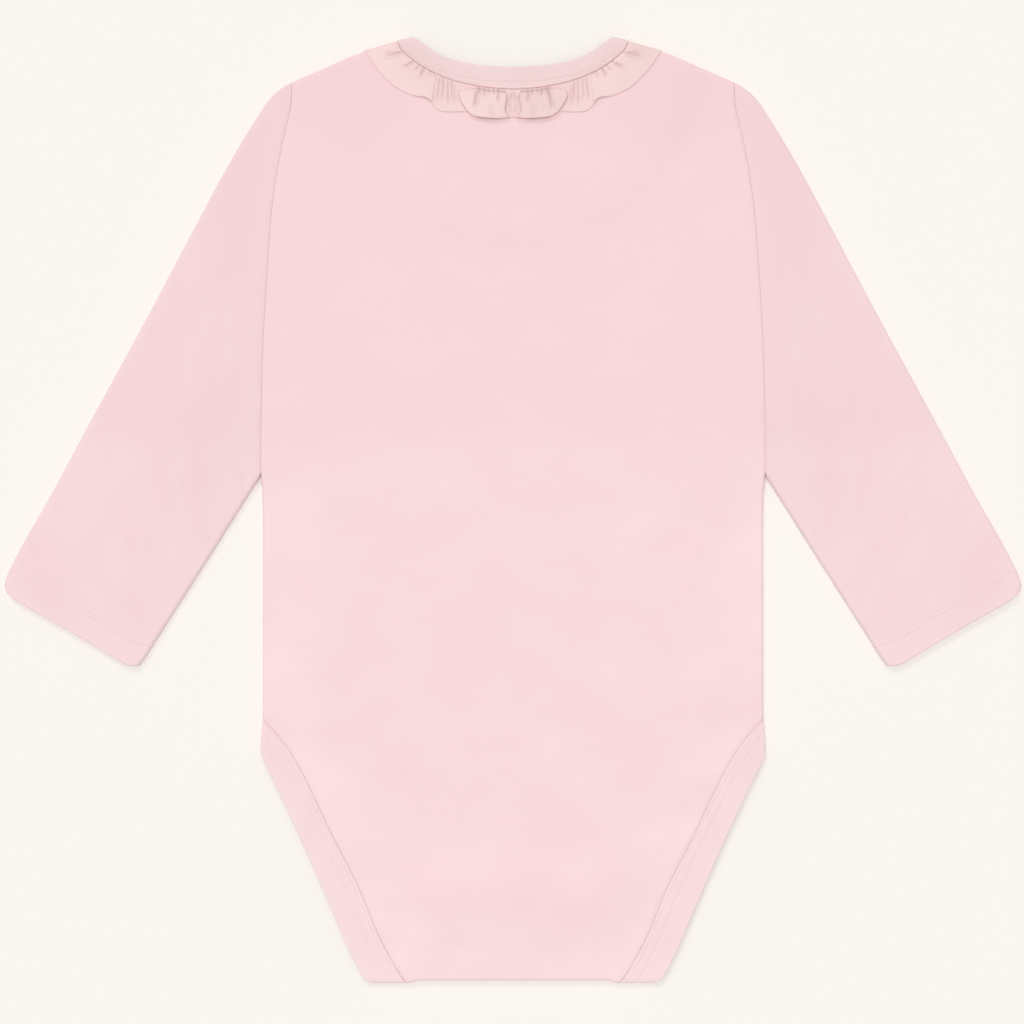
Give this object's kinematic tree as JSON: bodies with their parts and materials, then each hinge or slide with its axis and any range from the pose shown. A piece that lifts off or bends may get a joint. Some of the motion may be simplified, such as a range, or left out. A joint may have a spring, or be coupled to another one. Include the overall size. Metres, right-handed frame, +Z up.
{
  "type": "baby onesie",
  "caption": "Long-sleeved baby bodysuit laid flat with its back up: bound neck with a gathered ruffle, set-in sleeves, bound leg openings and a crotch flap fastened with snaps.",
  "frame": {"origin": "on the surface that the garment lies on, at the middle of its outline's bounding box", "axes": "+X across the chest to the picture's right, +Y from the crotch to the neck, +Z up out of the back"},
  "size_m": [0.4512, 0.4191, 0.0103],
  "materials": {
    "jersey": "soft knit cotton",
    "binding": "fine rib knit",
    "ruffle": "soft knit cotton",
    "snap": "satin"
  },
  "bodies": {
    "root": {"back_panel": "jersey", "front_panel": "jersey", "sleeve_left": "jersey", "sleeve_right": "jersey", "neck_binding": "binding", "neck_ruffle": "ruffle", "leg_binding_left": "binding", "leg_binding_right": "binding", "snap_left": "snap", "snap_middle": "snap", "snap_right": "snap"}
  },
  "joints": []
}
